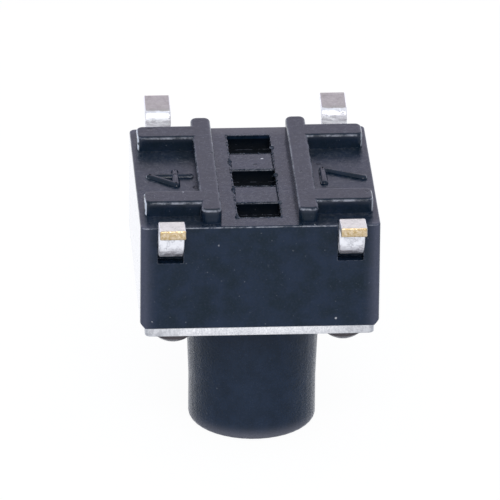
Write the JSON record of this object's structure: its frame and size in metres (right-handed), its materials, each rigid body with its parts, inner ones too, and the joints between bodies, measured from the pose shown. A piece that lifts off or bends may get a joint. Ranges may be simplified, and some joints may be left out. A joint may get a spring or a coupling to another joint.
{
  "type": "tactile push button switch",
  "caption": "Small square surface-mount tactile switch with a tall round button, a riveted cover plate and gull-wing feet.",
  "frame": {"origin": "centre of the switch on the solder plane of its feet", "axes": "+Z along the button's axis, away from the board; terminals leave the base on its -Y and +Y sides"},
  "size_m": [0.006, 0.0082, 0.0071],
  "materials": {
    "black_plastic": "semi-gloss moulded",
    "button_plastic": "satin moulded",
    "silvered_brass": "silver plated, bare brass on the cut ends of the feet",
    "plate_steel": "bright rolled and stamped",
    "spring_steel": "bright rolled"
  },
  "bodies": {
    "housing": {"base": "black_plastic", "contact_centre": "silvered_brass", "contact_rim": "silvered_brass", "snap_dome": "spring_steel", "cover_plate": "plate_steel"},
    "button": {"button": "button_plastic"}
  },
  "joints": [
    {"name": "button_press", "type": "slide", "parent": "housing", "child": "button", "axis": [0, 0, -1], "range_m": [0, 0.00025], "stiffness_N_per_m": 6400, "deforming": ["snap_dome"]}
  ]
}
